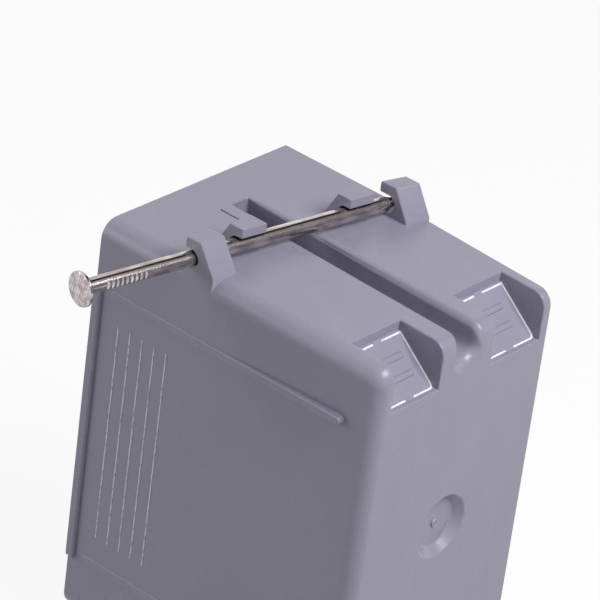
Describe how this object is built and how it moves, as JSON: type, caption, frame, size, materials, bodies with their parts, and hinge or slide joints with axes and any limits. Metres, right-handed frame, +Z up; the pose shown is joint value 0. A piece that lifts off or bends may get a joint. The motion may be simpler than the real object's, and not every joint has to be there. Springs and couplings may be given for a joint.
{
  "type": "new work outlet box",
  "caption": "Single-gang plastic outlet box for new work, open at the front, with captive nails across both ends, breakout cable entries and a round dimple in the back.",
  "frame": {"origin": "on the stud side of the box, at mid height, 12.7 mm behind the rim, where the front edge of the stud comes when the rim stands level with half-inch wallboard", "axes": "-X is the outward normal of the stud side and +X points to the side where the nail heads stand out, -Y points out of the open front into the room, +Y to the back, +Z up along the box's height as installed"},
  "size_m": [0.0837, 0.0746, 0.109],
  "materials": {
    "grey_plastic": "satin lavender-grey moulded plastic",
    "zinc_steel": "bright zinc-plated steel"
  },
  "bodies": {
    "root": {"box_body": "grey_plastic", "nail_top": "zinc_steel", "nail_bottom": "zinc_steel"}
  },
  "joints": []
}
